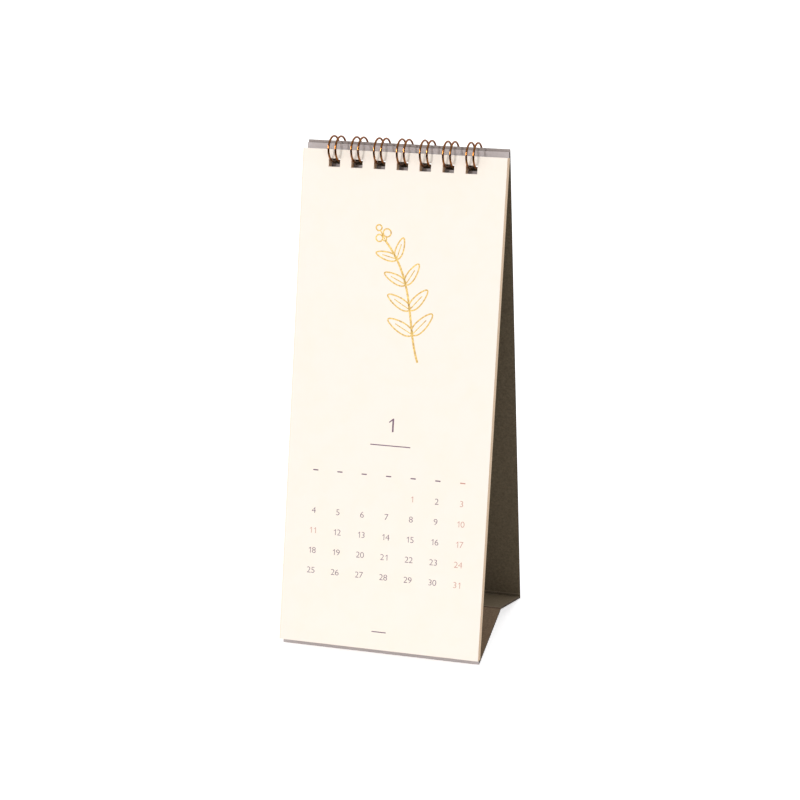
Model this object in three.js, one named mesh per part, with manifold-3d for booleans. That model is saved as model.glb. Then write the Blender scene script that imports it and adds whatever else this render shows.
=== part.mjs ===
// Desk calendar: twelve month leaves on a twin loop wire, hung on a tent stand folded from thick card.
// Millimetres, +Z up, +X to the right, and the leaves face -Y. The origin is on the table, under the middle.
import * as THREE from 'three';
import { mergeVertices } from 'three/addons/utils/BufferGeometryUtils.js';
import Module from 'manifold-3d';

const wasm = await Module();
wasm.setup();

// Stand card
const CARD_THICK = 0.7;
const CARD_WIDTH = 75.0;
const PANEL_LENGTH = 185.1; // from a panel's foot up its outer face
const FRONT_LEAN = 10.94; // degrees from upright
const BACK_LEAN = 9.55;
const TOP_GAP = 0.3; // between the two panels where they meet at the top
const CREASE_RISE = 8.5; // underside of the raised crease above the table
const FOLD_GAP = 0.3; // clearance in a crease
const OPEN_GAP = 0.5; // clearance in the crease at the back panel's foot
const FOLD_ROUND = 0.35; // rounding of a foot's outer edge
const ROUND_STEPS = 3;
const CARD_HOLE_HEIGHT = 4.0;
const CARD_HOLE_MARGIN = 3.25; // from a panel's top edge to its holes

// Leaves
const LEAF_COUNT = 12;
const LEAF_THICK = 0.25;
const LEAF_SPACE = 0.05; // air between two leaves
const LEAF_WIDTH = 75.6;
const LEAF_HEIGHT = 180.5;
const LEAF_SHIFT = 0.38; // the pad is punched a little off its middle
const LEAF_DROP = 2.15; // from the front panel's top edge down to the leaves'
const PAD_AIR = 1.5; // between the front panel and the last leaf
const LEAF_HOLE_HEIGHT = 3.0;
const LEAF_HOLE_MARGIN = 3.25; // from a leaf's top edge to its holes

// Wire binding
const LOOP_COUNT = 7;
const LOOP_PITCH = 25.4 / 3; // three holes to the inch
const HOLE_WIDTH = 4.24;
const WIRE_DIAMETER = 0.75;
const TWIN_SPACING = 2.6; // between the two wires of a loop
const LOOP_DEPTH = 13.1; // of the wire's centre line, across the panels
const LOOP_HEIGHT = 9.1; // of the wire's centre line, along the panels
const LOOP_AHEAD = 2.25; // loop centre in front of the front panel's face
const LOOP_DROP = 1.9; // loop centre below the front panel's top edge
const SPINE_ANGLE = 170; // where a loop leaves the spine, degrees from its front over the top
const TIP_ANGLE = 170; // where a loop's tip ends, degrees from its front under the bottom
const SPINE_BEND = 0.9;
const SPINE_STUB = 1.8; // spine left past the outer loops
const LOOP_STEPS = 24;
const BEND_STEPS = 4;
const TIP_STEPS = 8;
const WIRE_SIDES = 6;

const rad = THREE.MathUtils.degToRad;
const deg = THREE.MathUtils.radToDeg;

const loopCentres = Array.from(
  { length: LOOP_COUNT },
  (_, index) => (index - (LOOP_COUNT - 1) / 2) * LOOP_PITCH,
);
const loopCentreHeight = PANEL_LENGTH - LOOP_DROP;
const leafLift = PANEL_LENGTH - LEAF_DROP - LEAF_HEIGHT;
const padThick = LEAF_COUNT * LEAF_THICK + (LEAF_COUNT - 1) * LEAF_SPACE;

// The stand's side view, in (y, z) pairs with the front panel's foot at (0, 0)
const step = (point, direction, distance) => [
  point[0] + direction[0] * distance,
  point[1] + direction[1] * distance,
];

const turnLeft = (direction) => [-direction[1], direction[0]];

function headingTo(from, to) {
  const length = Math.hypot(to[0] - from[0], to[1] - from[1]);
  return [(to[0] - from[0]) / length, (to[1] - from[1]) / length];
}

// Where two lines cross, each given by a point and a direction
function crossing(pointA, directionA, pointB, directionB) {
  const cross = directionA[0] * directionB[1] - directionA[1] * directionB[0];
  const gapY = pointB[0] - pointA[0];
  const gapZ = pointB[1] - pointA[1];
  return step(pointA, directionA, (gapY * directionB[1] - gapZ * directionB[0]) / cross);
}

const frontUp = [Math.sin(rad(FRONT_LEAN)), Math.cos(rad(FRONT_LEAN))];
const backUp = [-Math.sin(rad(BACK_LEAN)), Math.cos(rad(BACK_LEAN))];
const UPRIGHT = [0, 1];

const frontFoot = [0, 0];
const topDepth = CARD_THICK / frontUp[1] + CARD_THICK / backUp[1] + TOP_GAP;
const backFoot = [PANEL_LENGTH * (frontUp[0] - backUp[0]) + topDepth, 0];
const crease = [(frontFoot[0] + backFoot[0]) / 2, CREASE_RISE];

// Card outline in side view, pushed out along X and centred on it
function profileGeometry(outline, width) {
  const shape = new THREE.Shape(outline.map(([y, z]) => new THREE.Vector2(y, z)));
  const geometry = new THREE.ExtrudeGeometry(shape, { depth: width, bevelEnabled: false });
  const sideView = new THREE.Matrix4().makeBasis(
    new THREE.Vector3(0, 1, 0),
    new THREE.Vector3(0, 0, 1),
    new THREE.Vector3(1, 0, 0),
  );
  return geometry.applyMatrix4(sideView).translate(-width / 2, 0, 0);
}

function toSolid(geometry) {
  const bare = geometry.clone();
  bare.deleteAttribute('normal');
  bare.deleteAttribute('uv');
  const merged = mergeVertices(bare, 1e-5);
  return new wasm.Manifold(new wasm.Mesh({
    numProp: 3,
    vertProperties: new Float32Array(merged.attributes.position.array),
    triVerts: new Uint32Array(merged.index.array),
  }));
}

function toGeometry(solid) {
  const mesh = solid.getMesh();
  const geometry = new THREE.BufferGeometry();
  geometry.setAttribute('position', new THREE.BufferAttribute(new Float32Array(mesh.vertProperties), 3));
  geometry.setIndex(new THREE.BufferAttribute(new Uint32Array(mesh.triVerts), 1));
  const faceted = geometry.toNonIndexed();
  faceted.computeVertexNormals();
  return faceted;
}

// Sheet with the binding's row of holes right through it, their top edges at holeTop
function punched(sheet, holeTop, holeHeight) {
  const punch = new THREE.BoxGeometry(HOLE_WIDTH, 4, holeHeight);
  const holes = loopCentres.map((x) => toSolid(punch.clone().translate(x, 0, holeTop - holeHeight / 2)));
  return toGeometry(toSolid(sheet).subtract(wasm.Manifold.union(holes)));
}

// Stand panel standing upright on its own outer face, with a level foot for the table once it leans.
// inward is 1 where the card's thickness lies towards +Y, and -1 where it lies towards -Y.
function panelGeometry(lean, inward) {
  const outline = [];
  for (let i = 0; i <= ROUND_STEPS; i += 1) {
    const angle = (Math.PI / 2) * (i / ROUND_STEPS);
    outline.push([
      inward * FOLD_ROUND * (1 - Math.sin(angle)),
      FOLD_ROUND * (1 - Math.cos(angle)) + FOLD_ROUND * (1 - Math.sin(angle)) * Math.tan(rad(lean)),
    ]);
  }
  outline.push(
    [0, PANEL_LENGTH],
    [inward * CARD_THICK, PANEL_LENGTH],
    [inward * CARD_THICK, CARD_THICK * Math.tan(rad(lean))],
  );
  return punched(profileGeometry(outline, CARD_WIDTH), PANEL_LENGTH - CARD_HOLE_MARGIN, CARD_HOLE_HEIGHT);
}

// Half of the base, between a panel's inner face and the raised crease
function baseGeometry(foot, panelUp, inward, footGap) {
  const along = headingTo(foot, crease);
  const panelIn = turnLeft(panelUp).map((part) => -inward * part);
  const footCut = step(foot, panelIn, CARD_THICK + footGap);
  const creaseCut = step(crease, [-inward, 0], FOLD_GAP / 2);
  const top = step(foot, turnLeft(along), inward * CARD_THICK);
  return profileGeometry([
    crossing(foot, along, footCut, panelUp),
    crossing(foot, along, creaseCut, UPRIGHT),
    crossing(top, along, creaseCut, UPRIGHT),
    crossing(top, along, footCut, panelUp),
  ], CARD_WIDTH);
}

// Leaf standing on its bottom edge, with its face at y = 0 and its thickness behind
function leafGeometry() {
  const sheet = new THREE.BoxGeometry(LEAF_WIDTH, LEAF_THICK, LEAF_HEIGHT)
    .translate(LEAF_SHIFT, LEAF_THICK / 2, LEAF_HEIGHT / 2);
  return punched(sheet, LEAF_HEIGHT - LEAF_HOLE_MARGIN, LEAF_HOLE_HEIGHT);
}

// Point on a loop's centre line, with the front panel upright and its foot at the origin
function loopPoint(x, angle) {
  return new THREE.Vector3(
    x,
    -LOOP_AHEAD - (LOOP_DEPTH / 2) * Math.cos(rad(angle)),
    loopCentreHeight + (LOOP_HEIGHT / 2) * Math.sin(rad(angle)),
  );
}

// Degrees round the loop that a length of wire takes, close to an angle
function anglePer(length, angle) {
  const rate = Math.hypot(
    (LOOP_DEPTH / 2) * Math.sin(rad(angle)),
    (LOOP_HEIGHT / 2) * Math.cos(rad(angle)),
  );
  return deg(length / rate);
}

// The whole wire: for each loop up from the spine, round to the tip, back beside itself, and on
function wirePath() {
  const tipBend = TWIN_SPACING / 2;
  const runStart = SPINE_ANGLE - anglePer(SPINE_BEND, SPINE_ANGLE);
  const runEnd = -TIP_ANGLE + anglePer(tipBend, TIP_ANGLE);
  const points = [loopPoint(loopCentres[0] - tipBend - SPINE_BEND - SPINE_STUB, SPINE_ANGLE)];
  for (const x of loopCentres) {
    const rise = [];
    for (let i = 0; i <= BEND_STEPS; i += 1) {
      const turn = (Math.PI / 2) * (i / BEND_STEPS);
      rise.push({
        aside: tipBend + SPINE_BEND * (1 - Math.sin(turn)),
        angle: SPINE_ANGLE - anglePer(SPINE_BEND * (1 - Math.cos(turn)), SPINE_ANGLE),
      });
    }
    for (let i = 1; i <= LOOP_STEPS; i += 1) {
      rise.push({ aside: tipBend, angle: runStart + (runEnd - runStart) * (i / LOOP_STEPS) });
    }
    const tip = [];
    for (let i = 1; i < TIP_STEPS; i += 1) {
      const turn = Math.PI * (i / TIP_STEPS);
      tip.push(loopPoint(
        x - tipBend * Math.cos(turn),
        runEnd - anglePer(tipBend * Math.sin(turn), TIP_ANGLE),
      ));
    }
    points.push(
      ...rise.map(({ aside, angle }) => loopPoint(x - aside, angle)),
      ...tip,
      ...rise.reverse().map(({ aside, angle }) => loopPoint(x + aside, angle)),
    );
  }
  const last = loopCentres[LOOP_COUNT - 1];
  points.push(loopPoint(last + tipBend + SPINE_BEND + SPINE_STUB, SPINE_ANGLE));
  return points;
}

// Closed tube of flat sides along a list of points, its section carried round without twist
function tubeGeometry(points, diameter, sides) {
  const positions = [];
  const indices = [];
  const heading = (index) => {
    const before = points[Math.max(index - 1, 0)];
    const after = points[Math.min(index + 1, points.length - 1)];
    return after.clone().sub(before).normalize();
  };
  let tangent = heading(0);
  const normal = new THREE.Vector3(0, 0, 1);
  normal.addScaledVector(tangent, -normal.dot(tangent)).normalize();
  points.forEach((point, index) => {
    const next = heading(index);
    normal.applyQuaternion(new THREE.Quaternion().setFromUnitVectors(tangent, next));
    normal.addScaledVector(next, -normal.dot(next)).normalize();
    tangent = next;
    const binormal = new THREE.Vector3().crossVectors(tangent, normal);
    for (let side = 0; side < sides; side += 1) {
      const angle = (2 * Math.PI * side) / sides;
      const corner = point.clone()
        .addScaledVector(normal, (diameter / 2) * Math.cos(angle))
        .addScaledVector(binormal, (diameter / 2) * Math.sin(angle));
      positions.push(corner.x, corner.y, corner.z);
    }
  });
  for (let ring = 0; ring < points.length - 1; ring += 1) {
    for (let side = 0; side < sides; side += 1) {
      const a = ring * sides + side;
      const b = ring * sides + ((side + 1) % sides);
      indices.push(a, b, b + sides, a, b + sides, a + sides);
    }
  }
  const lastRing = (points.length - 1) * sides;
  for (let side = 1; side < sides - 1; side += 1) {
    indices.push(0, side + 1, side);
    indices.push(lastRing, lastRing + side, lastRing + side + 1);
  }
  const geometry = new THREE.BufferGeometry();
  geometry.setAttribute('position', new THREE.Float32BufferAttribute(positions, 3));
  geometry.setIndex(indices);
  const faceted = geometry.toNonIndexed();
  faceted.computeVertexNormals();
  return faceted;
}

// Least air between two stretches of the wire that are further apart along it than a tight bend
function leastGap(points, diameter) {
  const lengths = [0];
  for (let i = 1; i < points.length; i += 1) {
    lengths.push(lengths[i - 1] + points[i].distanceTo(points[i - 1]));
  }
  let least = Infinity;
  for (let i = 0; i < points.length; i += 1) {
    for (let j = i + 1; j < points.length; j += 1) {
      if (lengths[j] - lengths[i] > Math.PI * TWIN_SPACING / 2) {
        least = Math.min(least, points[i].distanceTo(points[j]) - diameter);
      }
    }
  }
  return least;
}

const cardMaterial = () => new THREE.MeshStandardMaterial({ color: 0x9b9491, roughness: 0.92, metalness: 0 });
const leafMaterial = () => new THREE.MeshStandardMaterial({ color: 0xfff8ea, roughness: 0.85, metalness: 0 });
const wireMaterial = () => new THREE.MeshStandardMaterial({ color: 0x8a5527, roughness: 0.35, metalness: 0.9 });

function piece(name, geometry, material) {
  const mesh = new THREE.Mesh(geometry, material);
  mesh.name = name;
  return mesh;
}

const calendar = new THREE.Group();

// Everything that hangs on the front panel leans with it
const frontFrame = new THREE.Group();
frontFrame.rotation.x = -rad(FRONT_LEAN);
frontFrame.add(piece('front_panel', panelGeometry(FRONT_LEAN, 1), cardMaterial()));

const wirePoints = wirePath();
console.log(`wire: least gap to itself ${leastGap(wirePoints, WIRE_DIAMETER).toFixed(2)} mm`);
frontFrame.add(piece('twin_loop_wire', tubeGeometry(wirePoints, WIRE_DIAMETER, WIRE_SIDES), wireMaterial()));

for (let index = 0; index < LEAF_COUNT; index += 1) {
  const name = `month_leaf_${String(index + 1).padStart(2, '0')}`;
  const leaf = piece(name, leafGeometry(), leafMaterial());
  leaf.position.set(0, index * (LEAF_THICK + LEAF_SPACE) - PAD_AIR - padThick, leafLift);
  frontFrame.add(leaf);
}

const backFrame = new THREE.Group();
backFrame.position.set(0, backFoot[0], backFoot[1]);
backFrame.rotation.x = rad(BACK_LEAN);
backFrame.add(piece('back_panel', panelGeometry(BACK_LEAN, -1), cardMaterial()));

calendar.add(
  frontFrame,
  backFrame,
  piece('base_front', baseGeometry(frontFoot, frontUp, 1, FOLD_GAP), cardMaterial()),
  piece('base_rear', baseGeometry(backFoot, backUp, -1, OPEN_GAP), cardMaterial()),
);

// The origin goes under the middle of the whole object
const bounds = new THREE.Box3().setFromObject(calendar, true);
const middle = bounds.getCenter(new THREE.Vector3());
calendar.position.set(-middle.x, -middle.y, -bounds.min.z);

export default calendar;
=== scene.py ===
# %% [markdown]
# # Dressing a desk calendar
# The calendar is twelve month leaves on a twin loop wire, hung on a tent stand folded from thick
# card. The CAD model already gives every sheet its size and place, so the frame comes in first and
# is never moved. Everything here adds what the eye meets close up: paper, board, wire, print and
# foil.

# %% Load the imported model
import math

import bpy
from mathutils import Matrix, Vector


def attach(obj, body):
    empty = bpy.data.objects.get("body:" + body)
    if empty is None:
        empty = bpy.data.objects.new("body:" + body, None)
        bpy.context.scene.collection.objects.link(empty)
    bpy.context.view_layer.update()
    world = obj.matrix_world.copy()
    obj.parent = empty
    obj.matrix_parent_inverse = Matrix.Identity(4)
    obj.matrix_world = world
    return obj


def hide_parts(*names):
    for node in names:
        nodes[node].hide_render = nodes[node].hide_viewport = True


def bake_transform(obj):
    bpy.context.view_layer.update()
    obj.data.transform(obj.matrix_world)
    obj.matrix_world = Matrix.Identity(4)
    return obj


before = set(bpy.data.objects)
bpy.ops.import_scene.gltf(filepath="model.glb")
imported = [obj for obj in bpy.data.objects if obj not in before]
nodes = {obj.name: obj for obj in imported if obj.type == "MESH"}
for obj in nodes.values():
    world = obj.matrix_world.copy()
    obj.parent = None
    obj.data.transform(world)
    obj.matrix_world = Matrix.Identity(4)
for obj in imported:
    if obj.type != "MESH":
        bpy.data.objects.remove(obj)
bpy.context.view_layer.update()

# %% [markdown]
# Sizes are written in millimetres, as a maker gives them, and turned to metres at the last moment.
# Nearly everything to be added lies along the front panel, which leans back. It is easiest to give
# such a point as across, up along the panel and out from its face, and let one function place it.

# %% Places on the leaning front panel
MM = 0.001
FRONT_LEAN = math.radians(10.94)
FOOT = Vector((-0.34, -31.505, 0.0))
ACROSS = Vector((1, 0, 0))
ALONG = Vector((0, math.sin(FRONT_LEAN), math.cos(FRONT_LEAN)))
AHEAD = Vector((0, -math.cos(FRONT_LEAN), math.sin(FRONT_LEAN)))


def on_front(x, along, ahead):
    return (FOOT + ACROSS * x + ALONG * along + AHEAD * ahead) * MM


print("front panel's top edge:", [round(v, 4) for v in on_front(0, 185.1, 0)])

# %% [markdown]
# The camera stands where the photographer's did, a little to the right and above. A long lens
# keeps the upright edges of the calendar almost parallel.

# %% Camera
CAMERA_PLACE = Vector((201.118, -707.487, 307.1)) * MM
CAMERA_YAW = math.radians(16.006)
CAMERA_PITCH = math.radians(-16.569)
CAMERA_ROLL = math.radians(0.098)
SENSOR_WIDTH = 36
LENS = 93.49
NEAREST_SEEN = 50
camera_data = bpy.data.cameras.new("camera")
camera_data.sensor_width = SENSOR_WIDTH
camera_data.lens = LENS
camera_data.clip_start = NEAREST_SEEN * MM
camera = bpy.data.objects.new("camera", camera_data)
bpy.context.scene.collection.objects.link(camera)
camera.matrix_world = (
    Matrix.Translation(CAMERA_PLACE)
    @ Matrix.Rotation(CAMERA_YAW, 4, "Z")
    @ Matrix.Rotation(math.radians(90) + CAMERA_PITCH, 4, "X")
    @ Matrix.Rotation(CAMERA_ROLL, 4, "Z")
)
bpy.context.scene.camera = camera
print("camera is", round(CAMERA_PLACE.length, 3), "m from the origin")

# %% [markdown]
# Colours are picked on a screen, so they are written as the hex values that a screen uses.
# Shaders work in linear light, and this function makes the change in one place.

# %% Colour and node helpers
def linear(hex_colour):
    channels = [int(hex_colour[i:i + 2], 16) / 255 for i in (1, 3, 5)]
    turned = [c / 12.92 if c <= 0.04045 else ((c + 0.055) / 1.055) ** 2.4 for c in channels]
    return (*turned, 1.0)


def add_node(tree, kind, settings=None, **links):
    """Adds a node with its settings, and fills its inputs with numbers, colours or outputs.

    An input is given by its name, with underscores for spaces, or as i and its place in the list.
    """
    node = tree.nodes.new(kind)
    for key, value in (settings or {}).items():
        setattr(node, key, value)
    for key, value in links.items():
        by_place = key[0] == "i" and key[1:].isdigit()
        socket = node.inputs[int(key[1:]) if by_place else key.replace("_", " ")]
        if isinstance(value, bpy.types.NodeSocket):
            tree.links.new(value, socket)
        else:
            socket.default_value = value
    return node


def start_material(name):
    material = bpy.data.materials.new(name)
    material.use_nodes = True
    material.node_tree.nodes.clear()
    return material, material.node_tree


def finish_material(tree, surface):
    add_node(tree, "ShaderNodeOutputMaterial", Surface=surface)


# %% [markdown]
# ## Leaf paper
# The leaves are thick uncoated paper of a warm cream. Uncoated stock has no gloss: its fibres lie
# open, and the face is faintly cloudy. The cut edge looks darker and tanner than the face, because
# it shows the fibres end on. One material does both by asking which way the surface points, so it
# works on every leaf of the pad. A hair's breadth of the face along the left side is also tinted
# part way towards the edge's tan.

# %% Cream uncoated paper
PAPER_FIBRE = 0.35
PAPER_CLOUD = 9.0
PAPER_TOOTH = 0.03
LEFT_BAND_ENDS = -37.45
LEFT_BAND_SHARE = 0.4


def uncoated_paper(name, face_hex, cloud_hex, edge_hex, facing):
    material, tree = start_material(name)
    place = add_node(tree, "ShaderNodeTexCoord")
    cloud = add_node(tree, "ShaderNodeTexNoise", Vector=place.outputs["Object"],
                     Scale=1 / (PAPER_CLOUD * MM), Detail=5.0, Roughness=0.6)
    fibre = add_node(tree, "ShaderNodeTexNoise", Vector=place.outputs["Object"],
                     Scale=1 / (PAPER_FIBRE * MM), Detail=3.0, Roughness=0.7)
    blot = add_node(tree, "ShaderNodeMapRange", Value=cloud.outputs["Fac"],
                    From_Min=0.42, From_Max=0.68)
    face = add_node(tree, "ShaderNodeMix", {"data_type": "RGBA"}, Factor=blot.outputs["Result"],
                    i6=linear(face_hex), i7=linear(cloud_hex))
    ways = add_node(tree, "ShaderNodeSeparateXYZ", Vector=place.outputs["Object"])
    in_left_band = add_node(tree, "ShaderNodeMath", {"operation": "LESS_THAN"},
                       i0=ways.outputs["X"], i1=LEFT_BAND_ENDS * MM)
    left_band_share = add_node(tree, "ShaderNodeMath", {"operation": "MULTIPLY"},
                          i0=in_left_band.outputs["Value"], i1=LEFT_BAND_SHARE)
    left_banded = add_node(tree, "ShaderNodeMix", {"data_type": "RGBA"},
                       Factor=left_band_share.outputs["Value"],
                       i6=face.outputs[2], i7=linear(edge_hex))
    turned = add_node(tree, "ShaderNodeVectorMath", {"operation": "DOT_PRODUCT"},
                      i0=place.outputs["Normal"], i1=tuple(facing))
    how_flat = add_node(tree, "ShaderNodeMath", {"operation": "ABSOLUTE"},
                        i0=turned.outputs["Value"])
    is_face = add_node(tree, "ShaderNodeMath", {"operation": "GREATER_THAN"},
                       i0=how_flat.outputs["Value"], i1=0.5)
    colour = add_node(tree, "ShaderNodeMix", {"data_type": "RGBA"},
                      Factor=is_face.outputs["Value"],
                      i6=linear(edge_hex), i7=left_banded.outputs[2])
    tooth = add_node(tree, "ShaderNodeBump", Strength=0.12, Distance=PAPER_TOOTH * MM,
                     Height=fibre.outputs["Fac"])
    paper = add_node(tree, "ShaderNodeBsdfPrincipled", Base_Color=colour.outputs[2],
                     Roughness=0.82, IOR=1.47, Specular_IOR_Level=0.12,
                     Normal=tooth.outputs["Normal"])
    finish_material(tree, paper.outputs["BSDF"])
    return material


LEAF_COUNT = 12
leaf_paper = uncoated_paper("cream_uncoated_paper", "#FFF5EA", "#FEF4E7", "#F4D5B4", AHEAD)
for number in range(1, LEAF_COUNT + 1):
    leaf = nodes[f"month_leaf_{number:02d}"]
    leaf.data.materials.clear()
    leaf.data.materials.append(leaf_paper)
print("paper on", LEAF_COUNT, "leaves")

# %% [markdown]
# ## Grey board
# The stand is folded from card with a dark brown core. Its outside is lined with a smooth grey
# paper that shows faint streaks along the web, and the lining is turned over the top edges and a
# little way down inside, where a darker grey is painted on it as painted shade. The inside is bare
# board with coarser fibre. The surface's direction tells the outside, the inside and the cut sides
# apart, and its height tells where the lining ends. Beside a fold a thin line is painted: a pale
# one, partly crushed fibre and partly a painted highlight where the board bulges, or, along the
# ridge on the base's front half, a dark one, painted shade in the crease. The two halves of the
# base get paler copies of the inside board as painted light, the front half palest.

# %% Grey lined board
STREAK_LENGTH = 5.0
STREAK_WIDTH = 0.5
BOARD_FIBRE = 0.8
BOARD_TOOTH = 0.05
LINING_ENDS = 177.0
OUTSIDE_FROM = 0.45
LINE_SHARE = 0.5


def lined_board(name, outward, board_hexes, line_at, line_width, line_hex):
    material, tree = start_material(name)
    place = add_node(tree, "ShaderNodeTexCoord")
    per_length, per_width = 1 / (STREAK_LENGTH * MM), 1 / (STREAK_WIDTH * MM)
    stretched = add_node(tree, "ShaderNodeVectorMath", {"operation": "MULTIPLY"},
                         i0=place.outputs["Object"], i1=(per_length, per_width, per_width))
    streak = add_node(tree, "ShaderNodeTexNoise", Vector=stretched.outputs["Vector"],
                      Scale=1.0, Detail=4.0, Roughness=0.65)
    fibre = add_node(tree, "ShaderNodeTexNoise", Vector=place.outputs["Object"],
                     Scale=1 / (BOARD_FIBRE * MM), Detail=6.0, Roughness=0.75)
    streak_tone = add_node(tree, "ShaderNodeMapRange", Value=streak.outputs["Fac"],
                           From_Min=0.35, From_Max=0.65)
    fibre_tone = add_node(tree, "ShaderNodeMapRange", Value=fibre.outputs["Fac"],
                          From_Min=0.35, From_Max=0.65)
    lining_tone = add_node(tree, "ShaderNodeMix", {"data_type": "FLOAT"}, i0=0.45,
                           i2=streak_tone.outputs["Result"], i3=fibre_tone.outputs["Result"])
    lining = add_node(tree, "ShaderNodeMix", {"data_type": "RGBA"},
                      Factor=lining_tone.outputs[0],
                      i6=linear("#BAB2B2"), i7=linear("#C8C0C1"))
    # Painted shade: the lining turned in over the top is a darker copy of the outside lining.
    shaded_turned_in = add_node(tree, "ShaderNodeMix", {"data_type": "RGBA"},
                         Factor=lining_tone.outputs[0],
                         i6=linear("#9E928E"), i7=linear("#B5AAA6"))
    board = add_node(tree, "ShaderNodeMix", {"data_type": "RGBA"},
                     Factor=fibre_tone.outputs["Result"],
                     i6=linear(board_hexes[0]), i7=linear(board_hexes[1]))
    core = add_node(tree, "ShaderNodeMix", {"data_type": "RGBA"},
                    Factor=fibre_tone.outputs["Result"],
                    i6=linear("#3E332A"), i7=linear("#5A4C40"))
    height = add_node(tree, "ShaderNodeSeparateXYZ", Vector=place.outputs["Object"])
    # A thin line beside a fold, in line_hex: a pale painted highlight on some panels, painted shade
    # on the base's front half.
    on_line = add_node(tree, "ShaderNodeMath", {"operation": "COMPARE"},
                       i0=height.outputs["Z"], i1=line_at * MM, i2=line_width / 2 * MM)
    line_share = add_node(tree, "ShaderNodeMath", {"operation": "MULTIPLY"},
                          i0=on_line.outputs["Value"], i1=LINE_SHARE)
    inside = add_node(tree, "ShaderNodeMix", {"data_type": "RGBA"},
                      Factor=line_share.outputs["Value"],
                      i6=board.outputs[2], i7=linear(line_hex))
    turned = add_node(tree, "ShaderNodeVectorMath", {"operation": "DOT_PRODUCT"},
                      i0=place.outputs["Normal"], i1=tuple(outward))
    is_outside = add_node(tree, "ShaderNodeMath", {"operation": "GREATER_THAN"},
                          i0=turned.outputs["Value"], i1=OUTSIDE_FROM)
    is_top = add_node(tree, "ShaderNodeMath", {"operation": "GREATER_THAN"},
                      i0=height.outputs["Z"], i1=LINING_ENDS * MM)
    within = add_node(tree, "ShaderNodeMix", {"data_type": "RGBA"},
                      Factor=is_top.outputs["Value"],
                      i6=inside.outputs[2], i7=shaded_turned_in.outputs[2])
    face = add_node(tree, "ShaderNodeMix", {"data_type": "RGBA"},
                    Factor=is_outside.outputs["Value"],
                    i6=within.outputs[2], i7=lining.outputs[2])
    ways = add_node(tree, "ShaderNodeSeparateXYZ", Vector=place.outputs["Normal"])
    sideways = add_node(tree, "ShaderNodeMath", {"operation": "ABSOLUTE"}, i0=ways.outputs["X"])
    is_side = add_node(tree, "ShaderNodeMath", {"operation": "GREATER_THAN"},
                       i0=sideways.outputs["Value"], i1=0.5)
    colour = add_node(tree, "ShaderNodeMix", {"data_type": "RGBA"},
                      Factor=is_side.outputs["Value"],
                      i6=face.outputs[2], i7=core.outputs[2])
    tooth = add_node(tree, "ShaderNodeBump", Strength=0.25, Distance=BOARD_TOOTH * MM,
                     Height=fibre.outputs["Fac"])
    surface = add_node(tree, "ShaderNodeBsdfPrincipled", Base_Color=colour.outputs[2],
                       Roughness=0.78, IOR=1.47, Specular_IOR_Level=0.3,
                       Normal=tooth.outputs["Normal"])
    finish_material(tree, surface.outputs["BSDF"])
    return material


BACK_LEAN = math.radians(9.55)
RIDGE_REACH = 33.78
RIDGE_RISE = 8.5
CARD_THICK = 0.7
BASE_TILT = math.atan2(RIDGE_RISE, RIDGE_REACH)
DARK_BOARD = ("#655845", "#7F725D")
# Painted light: the two halves of the base get paler copies of the inside board, the front half
# palest.
BASE_REAR_PAINTED_LIGHT = ("#72644F", "#8D7E68")
BASE_FRONT_PAINTED_LIGHT = ("#806B57", "#A0886F")
# Fold lines: the pale one is partly crushed fibre and partly a painted highlight on the bulge; the
# dark one is painted shade in the ridge's crease.
CRUSHED_LIT_FOLD_LINE = "#B5A38D"
PAINTED_CREASE_SHADE = "#2A211B"
BEHIND = Vector((0, math.cos(BACK_LEAN), math.sin(BACK_LEAN)))
UNDER_FRONT = Vector((0, math.sin(BASE_TILT), -math.cos(BASE_TILT)))
UNDER_REAR = Vector((0, -math.sin(BASE_TILT), -math.cos(BASE_TILT)))
panel_looks = {
    "front_panel": (AHEAD, DARK_BOARD, 2.0, 0.26, CRUSHED_LIT_FOLD_LINE),
    "back_panel": (BEHIND, DARK_BOARD, 2.0, 0.26, CRUSHED_LIT_FOLD_LINE),
    "base_front": (UNDER_FRONT, BASE_FRONT_PAINTED_LIGHT, 9.08, 0.14, PAINTED_CREASE_SHADE),
    "base_rear": (UNDER_REAR, BASE_REAR_PAINTED_LIGHT, 9.1, 0.26, CRUSHED_LIT_FOLD_LINE),
}
board_materials = {}
for name, look in panel_looks.items():
    board_materials[name] = lined_board("grey_lined_board_" + name, *look)
    nodes[name].data.materials.clear()
    nodes[name].data.materials.append(board_materials[name])
print("board on", len(panel_looks), "panels")

# %% [markdown]
# ## The twin loop wire
# One steel wire with a bronze coloured coating is bent into seven double loops before it is closed
# through the holes. Each loop rises from the spine at the back, runs over the top, down the front,
# through the holes and ends in a tight turn behind, then comes back beside itself. A loop is an
# oval in the side view, so a point on it is given by its angle, and the path is worked out from the
# oval's depth and height.

# %% Path of the wire
LOOP_COUNT = 7
LOOP_PITCH = 25.4 / 3
WIRE_DIAMETER = 0.75
TWIN_SPACING = 2.6
LOOP_DEPTH = 13.1
LOOP_HEIGHT = 9.1
LOOP_AHEAD = 2.25
LOOP_CENTRE = 183.2
END_ANGLE = 170.0
SPINE_BEND = 0.9
SPINE_STUB = 1.8
LOOP_STEPS = 56
BEND_STEPS = 8
TIP_STEPS = 14


def loop_point(x, degrees):
    angle = math.radians(degrees)
    along = LOOP_CENTRE + LOOP_HEIGHT / 2 * math.sin(angle)
    ahead = LOOP_AHEAD + LOOP_DEPTH / 2 * math.cos(angle)
    return on_front(x, along, ahead)


def angle_per(length, degrees):
    angle = math.radians(degrees)
    rate = math.hypot(LOOP_DEPTH / 2 * math.sin(angle), LOOP_HEIGHT / 2 * math.cos(angle))
    return math.degrees(length / rate)


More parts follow.
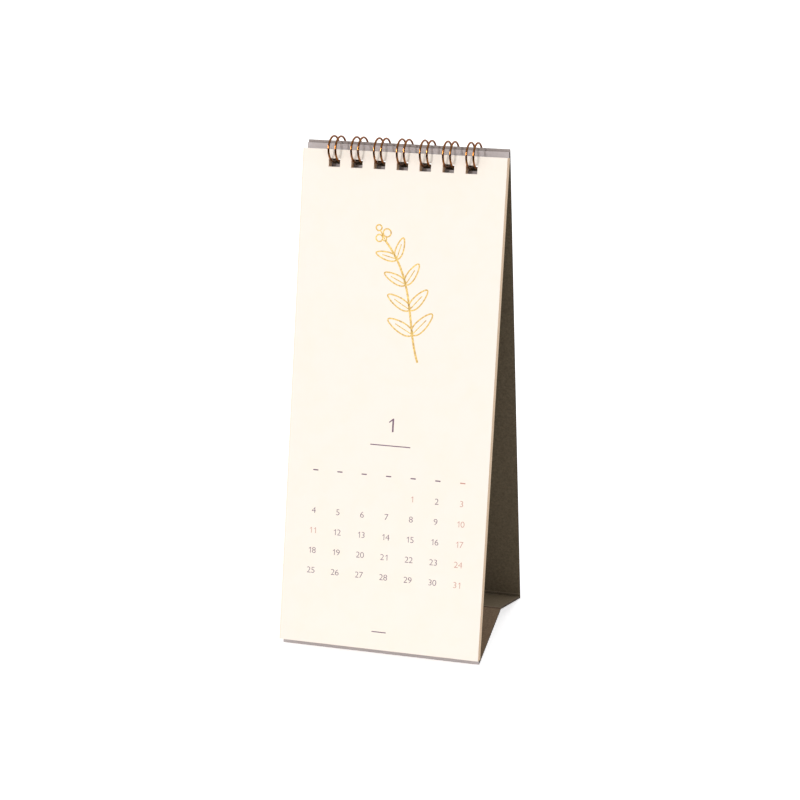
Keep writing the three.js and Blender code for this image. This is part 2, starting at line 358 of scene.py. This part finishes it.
def wire_path():
    half = TWIN_SPACING / 2
    run_start = END_ANGLE - angle_per(SPINE_BEND, END_ANGLE)
    run_end = -END_ANGLE + angle_per(half, END_ANGLE)
    centres = [(i - (LOOP_COUNT - 1) / 2) * LOOP_PITCH for i in range(LOOP_COUNT)]
    points = [loop_point(centres[0] - half - SPINE_BEND - SPINE_STUB, END_ANGLE)]
    for x in centres:
        rise = []
        for i in range(BEND_STEPS + 1):
            turn = math.pi / 2 * i / BEND_STEPS
            back = angle_per(SPINE_BEND * (1 - math.cos(turn)), END_ANGLE)
            rise.append((half + SPINE_BEND * (1 - math.sin(turn)), END_ANGLE - back))
        for i in range(1, LOOP_STEPS + 1):
            rise.append((half, run_start + (run_end - run_start) * i / LOOP_STEPS))
        points += [loop_point(x - aside, angle) for aside, angle in rise]
        for i in range(1, TIP_STEPS):
            turn = math.pi * i / TIP_STEPS
            drop = angle_per(half * math.sin(turn), END_ANGLE)
            points.append(loop_point(x - half * math.cos(turn), run_end - drop))
        points += [loop_point(x + aside, angle) for aside, angle in reversed(rise)]
    points.append(loop_point(centres[-1] + half + SPINE_BEND + SPINE_STUB, END_ANGLE))
    return points


# %% [markdown]
# A round section is then carried along the path. A curve with a bevel would do it too, but its
# section can twist at the tight turns, and the cropped ends would stay flat.

# %% Round section along the path
WIRE_SIDES = 14
CROPPED_END_SHARE = 0.55
CROPPED_END_REACH = 0.3


def link(obj):
    bpy.context.scene.collection.objects.link(obj)
    return obj


def mesh_object(name, vertices, faces, material, smooth=False):
    mesh = bpy.data.meshes.new(name)
    mesh.from_pydata([tuple(v) for v in vertices], [], faces)
    mesh.materials.append(material)
    mesh.polygons.foreach_set("use_smooth", [smooth] * len(mesh.polygons))
    mesh.update()
    return link(bpy.data.objects.new(name, mesh))


def round_tube(points, radius, sides):
    """Rings of points carried along a path without twist, drawn in at the cropped ends."""
    vertices, faces = [], []
    normal = Vector((0, 0, 1))
    rings = [(point, 1.0) for point in points]
    rings = [(points[0], CROPPED_END_SHARE)] + rings + [(points[-1], CROPPED_END_SHARE)]
    last = len(rings) - 1
    for index, (point, share) in enumerate(rings):
        before = rings[max(index - 1, 0)][0]
        after = rings[min(index + 1, last)][0]
        if index <= 1:
            before, after = points[0], points[1]
        if index >= last - 1:
            before, after = points[-2], points[-1]
        heading = (after - before).normalized()
        normal = (normal - heading * normal.dot(heading)).normalized()
        side = heading.cross(normal)
        centre = point
        if index == 0:
            centre = point - heading * CROPPED_END_REACH * radius
        if index == last:
            centre = point + heading * CROPPED_END_REACH * radius
        for i in range(sides):
            angle = 2 * math.pi * i / sides
            outward = normal * math.cos(angle) + side * math.sin(angle)
            vertices.append(centre + outward * radius * share)
    for ring in range(last):
        for i in range(sides):
            a, b = ring * sides + i, ring * sides + (i + 1) % sides
            faces.append((a, b, b + sides, a + sides))
    faces.append(tuple(reversed(range(sides))))
    faces.append(tuple(range(last * sides, (last + 1) * sides)))
    return vertices, faces


# %% [markdown]
# The coating is a lacquer tinted deep brown over bright steel. It is a dark metal where it
# reflects the room, and gold where it catches a lamp, with the lacquer's own clear gloss on top.
# Its tint holds at grazing angles too, so the tops of the loops stay brown. A little unevenness in
# its roughness keeps the highlights from looking ruled, and low down, where it passes through the
# holes, it is made dull and a pale brown, without the clear gloss.

# %% Bronze lacquered steel
LACQUER_GRAIN = 1.6
DULL_PART_FROM = 176.3
DULL_PART_TO = 177.0


def bronze_lacquer(name):
    material, tree = start_material(name)
    place = add_node(tree, "ShaderNodeTexCoord")
    grain = add_node(tree, "ShaderNodeTexNoise", Vector=place.outputs["Object"],
                     Scale=1 / (LACQUER_GRAIN * MM), Detail=3.0, Roughness=0.6)
    gloss = add_node(tree, "ShaderNodeMapRange", Value=grain.outputs["Fac"],
                     From_Min=0.3, From_Max=0.7, To_Min=0.11, To_Max=0.2)
    tint = add_node(tree, "ShaderNodeMix", {"data_type": "RGBA"}, Factor=grain.outputs["Fac"],
                    i6=linear("#703F0F"), i7=linear("#945C1E"))
    height = add_node(tree, "ShaderNodeSeparateXYZ", Vector=place.outputs["Object"])
    above_dull_part = add_node(tree, "ShaderNodeMapRange", Value=height.outputs["Z"],
                         From_Min=DULL_PART_FROM * MM, From_Max=DULL_PART_TO * MM)
    bright = above_dull_part.outputs["Result"]
    shade = add_node(tree, "ShaderNodeMix", {"data_type": "RGBA"}, Factor=bright,
                     i6=linear("#6A4F37"), i7=tint.outputs[2])
    metallic = add_node(tree, "ShaderNodeMix", {"data_type": "FLOAT"}, i0=bright,
                        i2=0.25, i3=1.0)
    roughness = add_node(tree, "ShaderNodeMix", {"data_type": "FLOAT"}, i0=bright,
                         i2=0.55, i3=gloss.outputs["Result"])
    clear_coat = add_node(tree, "ShaderNodeMix", {"data_type": "FLOAT"}, i0=bright,
                          i2=0.0, i3=0.45)
    metal = add_node(tree, "ShaderNodeBsdfPrincipled", Base_Color=shade.outputs[2],
                     Metallic=metallic.outputs[0], Roughness=roughness.outputs[0],
                     Specular_Tint=linear("#D9B183"),
                     Coat_Weight=clear_coat.outputs[0], Coat_Roughness=0.1)
    finish_material(tree, metal.outputs["BSDF"])
    return material


bronze = bronze_lacquer("bronze_lacquered_steel")
wire_points = wire_path()
tube_vertices, tube_faces = round_tube(wire_points, WIRE_DIAMETER / 2 * MM, WIRE_SIDES)
wire = mesh_object("bronze_twin_loop_wire", tube_vertices, tube_faces, bronze, smooth=True)
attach(wire, "stand")
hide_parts("twin_loop_wire")
wire_length = sum((b - a).length for a, b in zip(wire_points, wire_points[1:]))
print(f"wire: {wire_length:.3f} m long, {len(tube_faces)} faces")

# %% [markdown]
# ## Creases
# Where board is scored and folded, its fibres are pressed thin but not cut. The panels are
# separate bodies, so each crease gets a thin strip of board that sits inside the gap and bridges
# both sides. The crease at the back panel's foot has none: that fold is where the stand's loop is
# open.

# %% Strips that bridge the creases
CREASE_HALF_WIDTH = 37.4
CREASE_BITE = 0.35
CREASE_STEPS = 6


def crease_strip(name, middle, way, thick_way, gap, thickness, material):
    """A flat strip centred on middle in the side view, as wide as the gap and a bite each side."""
    reach = gap / 2 + CREASE_BITE
    section = []
    for side in (-1, 1):
        for i in range(CREASE_STEPS + 1):
            share = side * (1 - 2 * i / CREASE_STEPS)
            section.append(middle + way * (share * reach) + thick_way * (side * thickness / 2))
    count = len(section)
    vertices = []
    for side in (-1, 1):
        end = Vector((side * CREASE_HALF_WIDTH, 0, 0)) + FOOT
        vertices += [end + place for place in section]
    faces = [tuple(range(count)), tuple(reversed(range(count, 2 * count)))]
    for i in range(count):
        j = (i + 1) % count
        faces.append((j, i, i + count, j + count))
    strip = mesh_object(name, [v * MM for v in vertices], faces, material)
    start, end = [(FOOT + middle + way * (side * gap / 2)) * MM for side in (-1, 1)]
    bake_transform(strip)


FOLD_GAP = 0.3
FOOT_CREASE_THICK = 0.35
FOOT_CREASE_SHIFT = Vector((0, 0.12, 0.42))
RIDGE_CREASE_THICK = 0.3
RIDGE_CREASE_LIFT = 0.2
base_way = Vector((0, math.cos(BASE_TILT), math.sin(BASE_TILT)))
base_up = Vector((0, -math.sin(BASE_TILT), math.cos(BASE_TILT)))
front_inner = Vector((0, math.cos(FRONT_LEAN), -math.sin(FRONT_LEAN)))
foot_middle = front_inner * (CARD_THICK + FOLD_GAP / 2) + FOOT_CREASE_SHIFT
crease_strip("front_foot_crease", foot_middle, base_way, base_up, FOLD_GAP, FOOT_CREASE_THICK,
             board_materials["base_front"])
ridge_middle = Vector((0, RIDGE_REACH, RIDGE_RISE + RIDGE_CREASE_LIFT))
crease_strip("ridge_crease", ridge_middle, Vector((0, 1, 0)), Vector((0, 0, 1)), FOLD_GAP,
             RIDGE_CREASE_THICK, board_materials["base_front"])
print("two crease strips")

# %% [markdown]
# ## Printed numbers
# The days are printed in a thin upright face, in a mauve grey, with the last day of each week and
# a few other rest days in a pale peach. The ten figures are made from the plain font that comes
# with Blender, thinned for the small days and left as they are for the month's number, and every
# number is put together from copies of them. All figures take the same width, so the columns line
# up, and the 1 is drawn from listed points with a small flag so that it can't be taken for a plain
# bar. Real ink is far thinner, but at a hundredth of a millimetre it already lies flat on the paper
# to any eye.

# %% Ten figures
FIGURE_HEIGHT = 2.15
FIGURE_CELL = 0.74
FIGURE_WIDEN = 1.08
INK_THICK = 0.012
INK_LIFT = 0.004
DAY_THINNING = 0.014
DAY_STROKE = 0.097
MONTH_THINNING = 0.0
MONTH_STROKE = 0.118
ONE_LEFT = 0.26


def figure_outlines(thinning, stroke):
    """Places, polygons and width of each figure at a height of 1. The stroke is the 1's own."""
    figures = {}
    for character in "0123456789":
        text = bpy.data.curves.new("figure", "FONT")
        text.body = character
        text.resolution_u = 3
        text.offset = -thinning
        holder = link(bpy.data.objects.new("figure", text))
        bpy.context.view_layer.update()
        mesh = bpy.data.meshes.new_from_object(holder)
        bottom = min(v.co.y for v in mesh.vertices)
        top = max(v.co.y for v in mesh.vertices)
        left = min(v.co.x for v in mesh.vertices)
        size = 1 / (top - bottom)
        places = [((v.co.x - left) * size * FIGURE_WIDEN, (v.co.y - bottom) * size)
                  for v in mesh.vertices]
        polygons = [tuple(polygon.vertices) for polygon in mesh.polygons]
        figures[character] = (places, polygons, max(x for x, y in places))
        bpy.data.objects.remove(holder)
        bpy.data.meshes.remove(mesh)
    right = ONE_LEFT + stroke
    flagged_one = [(0.0, 0.73), (0.03, 0.66), (ONE_LEFT, 0.84), (ONE_LEFT, 0.0),
                   (right, 0.0), (right, 1.0), (0.3, 1.0)]
    figures["1"] = (flagged_one, [tuple(range(len(flagged_one)))], right)
    return figures


day_figures = figure_outlines(DAY_THINNING, DAY_STROKE)
month_figures = figure_outlines(MONTH_THINNING, MONTH_STROKE)
print("figure widths:", {figure: round(drawn[2], 2) for figure, drawn in day_figures.items()})

# %% [markdown]
# A flat outline becomes a thin solid by copying it a little higher and walling its open edges. The
# same step serves the figures, the small rules and the foil, so it is one function on a print
# layer.

# %% Thin solids on a leaf
LEAF_STEP = 0.3
PAD_FACE = 5.05


class PrintLayer:
    """Collects flat shapes in leaf coordinates and turns them into one mesh on a leaf's face."""

    def __init__(self, number):
        self.face = PAD_FACE - (number - 1) * LEAF_STEP
        self.vertices = []
        self.faces = []

    def add(self, places, polygons, lift=INK_LIFT):
        start = len(self.vertices)
        count = len(places)
        for height in (lift, lift + INK_THICK):
            self.vertices += [on_front(x, along, self.face + height) for x, along in places]
        edges = {}
        for polygon in polygons:
            area = sum(places[a][0] * places[b][1] - places[b][0] * places[a][1]
                       for a, b in zip(polygon, polygon[1:] + polygon[:1]))
            ring = polygon if area > 0 else tuple(reversed(polygon))
            self.faces.append(tuple(start + count + i for i in ring))
            self.faces.append(tuple(start + i for i in reversed(ring)))
            for pair in zip(ring, ring[1:] + ring[:1]):
                edges[pair] = edges.get(pair, 0) + 1
        for a, b in edges:
            if (b, a) not in edges:
                self.faces.append((start + a, start + b, start + count + b, start + count + a))

    def number(self, value, middle, base, height, figures):
        text = str(value)
        cell = FIGURE_CELL * height
        for index, character in enumerate(text):
            places, polygons, width = figures[character]
            x = middle + (index - (len(text) - 1) / 2) * cell - width / 2 * height
            self.add([(x + px * height, base + py * height) for px, py in places], polygons)

    def bar(self, middle, base, size):
        width, height = size
        left, right = middle - width / 2, middle + width / 2
        corners = [(left, base), (right, base), (right, base + height), (left, base + height)]
        self.add(corners, [(0, 1, 2, 3)])

    def build(self, name, material, number):
        layer = mesh_object(name, self.vertices, self.faces, material)
        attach(layer, f"month_leaf_{number:02d}")
        return layer


# %% [markdown]
# Ink soaks into uncoated paper, so it has nearly the paper's own matt surface and mostly changes
# its colour. It takes a little unevenly where the fibres carry it, which a fine noise between two
# tones gives.

# %% Inks
INK_SOAK = 0.3


def printing_ink(name, deep_hex, pale_hex):
    material, tree = start_material(name)
    place = add_node(tree, "ShaderNodeTexCoord")
    soak = add_node(tree, "ShaderNodeTexNoise", Vector=place.outputs["Object"],
                    Scale=1 / (INK_SOAK * MM), Detail=2.0)
    colour = add_node(tree, "ShaderNodeMix", {"data_type": "RGBA"}, Factor=soak.outputs["Fac"],
                      i6=linear(deep_hex), i7=linear(pale_hex))
    ink = add_node(tree, "ShaderNodeBsdfPrincipled", Base_Color=colour.outputs[2],
                   Roughness=0.75, IOR=1.5, Specular_IOR_Level=0.25)
    finish_material(tree, ink.outputs["BSDF"])
    return material


mauve_ink = printing_ink("mauve_grey_ink", "#684A61", "#82647B")
peach_ink = printing_ink("pale_peach_ink", "#C68B7A", "#D4A091")

# %% [markdown]
# The days stand in seven columns and up to six rows. A short bar heads each column, a longer rule
# underlines the month's number, and a last short one stands near the foot.

# %% Days of each month
COLUMN_MIDDLE = 1.1
COLUMN_STEP = 9.23
FIRST_ROW = 57.95
ROW_STEP = 7.4
HEADER_ROW = 66.3
HEADER_BAR = (1.95, 0.42)
MONTH_BASE = 82.75
MONTH_HEIGHT = 4.9
MONTH_RULE_BASE = 77.5
MONTH_RULE = (15.0, 0.36)
FOOT_RULE_BASE = 8.9
FOOT_RULE_ASIDE = 0.6
FOOT_RULE = (5.4, 0.34)
MONTH_DAYS = (31, 28, 31, 30, 31, 30, 31, 31, 30, 31, 30, 31)
WEEK = 7
MIDDLE_WEEKDAY = 3
LAST_WEEKDAY = 6
FIRST_WEEKDAY = 4
EXTRA_REST_DAYS = {1: (1, 11)}


def column_place(weekday):
    return COLUMN_MIDDLE + (weekday - MIDDLE_WEEKDAY) * COLUMN_STEP


month_start = FIRST_WEEKDAY
for number, day_count in enumerate(MONTH_DAYS, start=1):
    mauve = PrintLayer(number)
    peach = PrintLayer(number)
    mauve.number(number, COLUMN_MIDDLE, MONTH_BASE, MONTH_HEIGHT, month_figures)
    mauve.bar(COLUMN_MIDDLE, MONTH_RULE_BASE, MONTH_RULE)
    mauve.bar(COLUMN_MIDDLE - FOOT_RULE_ASIDE, FOOT_RULE_BASE, FOOT_RULE)
    for weekday in range(WEEK):
        layer = peach if weekday == LAST_WEEKDAY else mauve
        layer.bar(column_place(weekday), HEADER_ROW, HEADER_BAR)
    for day in range(1, day_count + 1):
        week, weekday = divmod(month_start + day - 1, WEEK)
        rests = weekday == LAST_WEEKDAY or day in EXTRA_REST_DAYS.get(number, ())
        layer = peach if rests else mauve
        row = FIRST_ROW - week * ROW_STEP
        layer.number(day, column_place(weekday), row, FIGURE_HEIGHT, day_figures)
    mauve.build(f"printed_days_{number:02d}", mauve_ink, number)
    peach.build(f"printed_rest_days_{number:02d}", peach_ink, number)
    month_start = (month_start + day_count) % WEEK
print("days printed on", len(MONTH_DAYS), "leaves")

# %% [markdown]
# ## Gold foil
# Above the days the leaf has a small line drawing stamped in gold foil. A hot stamp presses the
# foil into the paper, and on rough paper it takes in specks. So it looks softer than bare metal,
# which a rough surface with only a little of a metal's reflection gives.

# %% Gold foil
FOIL_SPECK = 0.7
FOIL_PRESS = 0.03


def gold_foil(name):
    material, tree = start_material(name)
    place = add_node(tree, "ShaderNodeTexCoord")
    grain = add_node(tree, "ShaderNodeTexNoise", Vector=place.outputs["Object"],
                     Scale=1 / (FOIL_SPECK * MM), Detail=4.0, Roughness=0.7)
    wear = add_node(tree, "ShaderNodeMapRange", Value=grain.outputs["Fac"],
                    From_Min=0.35, From_Max=0.65)
    tone = add_node(tree, "ShaderNodeMix", {"data_type": "RGBA"}, Factor=wear.outputs["Result"],
                    i6=linear("#B89049"), i7=linear("#F8DA86"))
    press = add_node(tree, "ShaderNodeBump", Strength=0.4, Distance=FOIL_PRESS * MM,
                     Height=grain.outputs["Fac"])
    foil = add_node(tree, "ShaderNodeBsdfPrincipled", Base_Color=tone.outputs[2], Metallic=0.15,
                    Roughness=0.7, Specular_IOR_Level=0.3, Normal=press.outputs["Normal"])
    finish_material(tree, foil.outputs["BSDF"])
    return material


# %% [markdown]
# The drawing is a plain branch with paired oval leaves and a few round berries. Each of its lines
# is a ribbon of even width along a curve, closed into a ring for a leaf's outline or a berry.

# %% Lines of the branch
STEM_CURVE = ((9.5, 108.5), (4.5, 122.0), (7.5, 137.0), (-4.5, 151.0))
STEM_STEPS = 60
RING_STEPS = 36
OVAL_BREADTH = 0.36
OVAL_FULLNESS = 0.25


def ribbon(points, width, closed=False):
    """Left and right edges of a line of even width, with the quads between them."""
    places, polygons = [], []
    count = len(points)
    for i, (x, y) in enumerate(points):
        before = points[i - 1] if i or closed else points[0]
        after = points[(i + 1) % count] if i < count - 1 or closed else points[-1]
        dx, dy = after[0] - before[0], after[1] - before[1]
        length = math.hypot(dx, dy)
        nx, ny = -dy / length * width / 2, dx / length * width / 2
        places += [(x + nx, y + ny), (x - nx, y - ny)]
    for i in range(count if closed else count - 1):
        j = (i + 1) % count
        polygons.append((2 * i, 2 * i + 1, 2 * j + 1, 2 * j))
    return places, polygons


def branch_point(share):
    """The stem's curve, from the cut end at 0 to the tip at 1, as across and along on the leaf."""
    a, b = 1 - share, share
    return tuple(
        a ** 3 * p0 + 3 * a * a * b * p1 + 3 * a * b * b * p2 + b ** 3 * p3
        for p0, p1, p2, p3 in zip(*STEM_CURVE)
    )


def oval_leaf(root, angle, length):
    """A closed leaf outline that starts and ends at root and points along angle."""
    points = []
    for i in range(RING_STEPS):
        turn = 2 * math.pi * i / RING_STEPS
        out = length / 2 * (1 - math.cos(turn))
        wide = length * OVAL_BREADTH / 2 * math.sin(turn) * (1 + OVAL_FULLNESS * math.cos(turn))
        points.append((root[0] + out * math.cos(angle) - wide * math.sin(angle),
                       root[1] + out * math.sin(angle) + wide * math.cos(angle)))
    return points


print("the branch reaches from", branch_point(0), "to", branch_point(1))

# %% [markdown]
# Where lines cross, their heights differ by a few thousandths of a millimetre at most, because two
# faces in one plane would flicker. Every other month has the branch mirrored, and it has three,
# four or five pairs of leaves.

# %% A branch in foil
LINE_WIDTH = 0.52
STEM_WIDTH = 0.75
RIB_WIDTH = 0.7
STALK_WIDTH = 0.8
FIRST_PAIR = 0.24
PAIRS_SPREAD = 0.62
LONGEST_OVAL = 10.5
OVAL_SHRINKS = 0.85
FIRST_OPENING = 52
OPENING_SHRINKS = 2
RIB_SHARES = (0.0, 0.15, 0.3, 0.45, 0.6, 0.7)
STALK_SHARES = (0, 0.3, 0.6, 1)
BERRIES = ((-2.6, 1.2, 1.25), (0.2, 3.2, 1.45), (-2.9, 4.9, 1.05))
OUTLINE_LIFT = 0.0004
RIB_LIFT = 0.0008
STALK_LIFT = 0.002
BERRY_LIFT = 0.003


def draw_branch(layer, pairs, lean):
    """A stem with pairs of leaves and berries at its tip. lean is 1 or -1, to mirror it."""
    def placed(x, along):
        return (COLUMN_MIDDLE + (x - COLUMN_MIDDLE) * lean, along)

    stem = [placed(*branch_point(i / STEM_STEPS)) for i in range(STEM_STEPS + 1)]
    layer.add(*ribbon(stem, STEM_WIDTH))
    for i in range(pairs):
        share = FIRST_PAIR + PAIRS_SPREAD * i / max(pairs - 1, 1)
        root = branch_point(share)
        ahead = branch_point(share + 0.01)
        heading = math.atan2(ahead[1] - root[1], ahead[0] - root[0])
        length = LONGEST_OVAL - OVAL_SHRINKS * i
        for side in (-1, 1):
            angle = heading + side * math.radians(FIRST_OPENING - OPENING_SHRINKS * i)
            outline = [placed(*point) for point in oval_leaf(root, angle, length)]
            layer.add(*ribbon(outline, LINE_WIDTH, closed=True),
                      lift=INK_LIFT + OUTLINE_LIFT * (i + 1))
            rib = [placed(root[0] + math.cos(angle) * length * share_out,
                          root[1] + math.sin(angle) * length * share_out)
                   for share_out in RIB_SHARES]
            layer.add(*ribbon(rib, LINE_WIDTH * RIB_WIDTH), lift=INK_LIFT + RIB_LIFT * (i + 1))
    tip = branch_point(1)
    for dx, dy, radius in BERRIES:
        reach = 1 - radius / math.hypot(dx, dy)
        stalk = [placed(tip[0] + dx * share_out * reach, tip[1] + dy * share_out * reach)
                 for share_out in STALK_SHARES]
        layer.add(*ribbon(stalk, LINE_WIDTH * STALK_WIDTH), lift=INK_LIFT + STALK_LIFT)
        turns = [2 * math.pi * j / RING_STEPS for j in range(RING_STEPS)]
        berry = [placed(tip[0] + dx + radius * math.cos(turn),
                        tip[1] + dy + radius * math.sin(turn)) for turn in turns]
        layer.add(*ribbon(berry, LINE_WIDTH, closed=True), lift=INK_LIFT + BERRY_LIFT)


gold = gold_foil("stamped_gold_foil")
for number in range(1, LEAF_COUNT + 1):
    foil = PrintLayer(number)
    draw_branch(foil, pairs=3 + number % 3, lean=1 if number % 2 else -1)
    foil.build(f"foil_branch_{number:02d}", gold, number)
print("foil on", LEAF_COUNT, "leaves")

# %% [markdown]
# ## Table and light
# The calendar stands on a white table against white. The table is brightened for the camera alone,
# so it reads as white and still keeps the shadow. It lies a hair below the card's feet, because two
# faces in one plane would flicker.

# %% White table
TABLE_GLOW = 0.62
TABLE_REACH = 3.0
TABLE_DROP = 0.02


def square_corners(middle, across, upward):
    middle, across, upward = Vector(middle), Vector(across), Vector(upward)
    return [middle + across * a + upward * b for a, b in ((-1, -1), (1, -1), (1, 1), (-1, 1))]


table_surface, tree = start_material("white_table")
ray = add_node(tree, "ShaderNodeLightPath")
matt = add_node(tree, "ShaderNodeBsdfDiffuse", Color=linear("#FDFDFD"))
lift = add_node(tree, "ShaderNodeMath", {"operation": "MULTIPLY"},
                i0=ray.outputs["Is Camera Ray"], i1=TABLE_GLOW)
glow = add_node(tree, "ShaderNodeEmission", Color=(1, 1, 1, 1), Strength=lift.outputs["Value"])
both = add_node(tree, "ShaderNodeAddShader", i0=matt.outputs["BSDF"], i1=glow.outputs["Emission"])
finish_material(tree, both.outputs["Shader"])
corners = square_corners((0, 0, -TABLE_DROP * MM), (TABLE_REACH, 0, 0), (0, TABLE_REACH, 0))
mesh_object("white_table", corners, [(0, 1, 2, 3)], table_surface)
print("table:", 2 * TABLE_REACH, "m square")

# %% [markdown]
# A plain white room gives most of the light. One broad lamp from the left gives the soft shading of
# the folds, and a small one draws the wire's faint shadows on the paper. Both are suns, so they
# light every height of the calendar alike.

# %% White room and two lamps
ROOM_LIGHT = 0.68
world = bpy.data.worlds.new("white_room")
bpy.context.scene.world = world
world.use_nodes = True
tree = world.node_tree
tree.nodes.clear()
ray = add_node(tree, "ShaderNodeLightPath")
seen = add_node(tree, "ShaderNodeMath", {"operation": "MAXIMUM"},
                i0=ray.outputs["Is Camera Ray"], i1=ray.outputs["Is Transmission Ray"])
seen_too = add_node(tree, "ShaderNodeMath", {"operation": "MAXIMUM"},
                    i0=seen.outputs["Value"], i1=ray.outputs["Is Glossy Ray"])
level = add_node(tree, "ShaderNodeMapRange", Value=seen_too.outputs["Value"],
                 To_Min=ROOM_LIGHT, To_Max=1.0)
room = add_node(tree, "ShaderNodeBackground", Color=(1, 1, 1, 1), Strength=level.outputs["Result"])
add_node(tree, "ShaderNodeOutputWorld", Surface=room.outputs["Background"])


def add_lamp(name, shines_from, energy, degrees_wide, hex_colour):
    data = bpy.data.lights.new(name, "SUN")
    data.energy = energy
    data.angle = math.radians(degrees_wide)
    data.color = linear(hex_colour)[:3]
    lamp = link(bpy.data.objects.new(name, data))
    lamp.matrix_world = Vector(shines_from).to_track_quat("Z", "Y").to_matrix().to_4x4()


add_lamp("broad_lamp", (-0.42, -0.9, 0.16), 0.24, 48, "#FAFAFF")
add_lamp("small_lamp", (-0.25, -0.9, 0.33), 0.88, 2.5, "#FFFFFF")
bpy.context.scene.view_settings.view_transform = "Standard"
print("light: room", ROOM_LIGHT, "and two lamps")

# %% [markdown]
# In an all white room the round wire would look flat. So dark cards stand at its sides and one
# lies low in front, as a photographer sets them, and an upright strip light at the left puts a
# small gold glint on the front of every loop, with the low card's dark band below it.

# %% Cards and a strip light for the wire
def studio_card(name, middle, across, upward, card_material):
    """A card that only reflections see, so that it shapes the wire's and lights nothing."""
    corners = square_corners(middle, across, upward)
    card = mesh_object(name, corners, [(0, 1, 2, 3)], card_material)
    card.visible_camera = False
    card.visible_diffuse = False
    card.visible_shadow = False


black_card, tree = start_material("black_card")
dull = add_node(tree, "ShaderNodeBsdfDiffuse", Color=linear("#4A423B"))
finish_material(tree, dull.outputs["BSDF"])
studio_card("left_dark_card", (-0.9, -0.2, 0.6), (0, 1.0, 0), (0, 0, 0.6), black_card)
studio_card("right_dark_card", (0.9, -0.2, 0.6), (0, 1.0, 0), (0, 0, 0.6), black_card)
studio_card("low_dark_card", (0, -0.6, 0.11), (0.6, 0, 0), (0, 0.5, -0.09), black_card)

strip_light, tree = start_material("strip_light")
tube_light = add_node(tree, "ShaderNodeEmission", Color=linear("#FFF8EC"), Strength=50.0)
finish_material(tree, tube_light.outputs["Emission"])
studio_card("strip_light", (-0.67, -0.62, 0.57), (0.08, -0.096, 0), (0, 0, 0.29), strip_light)
print("three dark cards and a strip light")
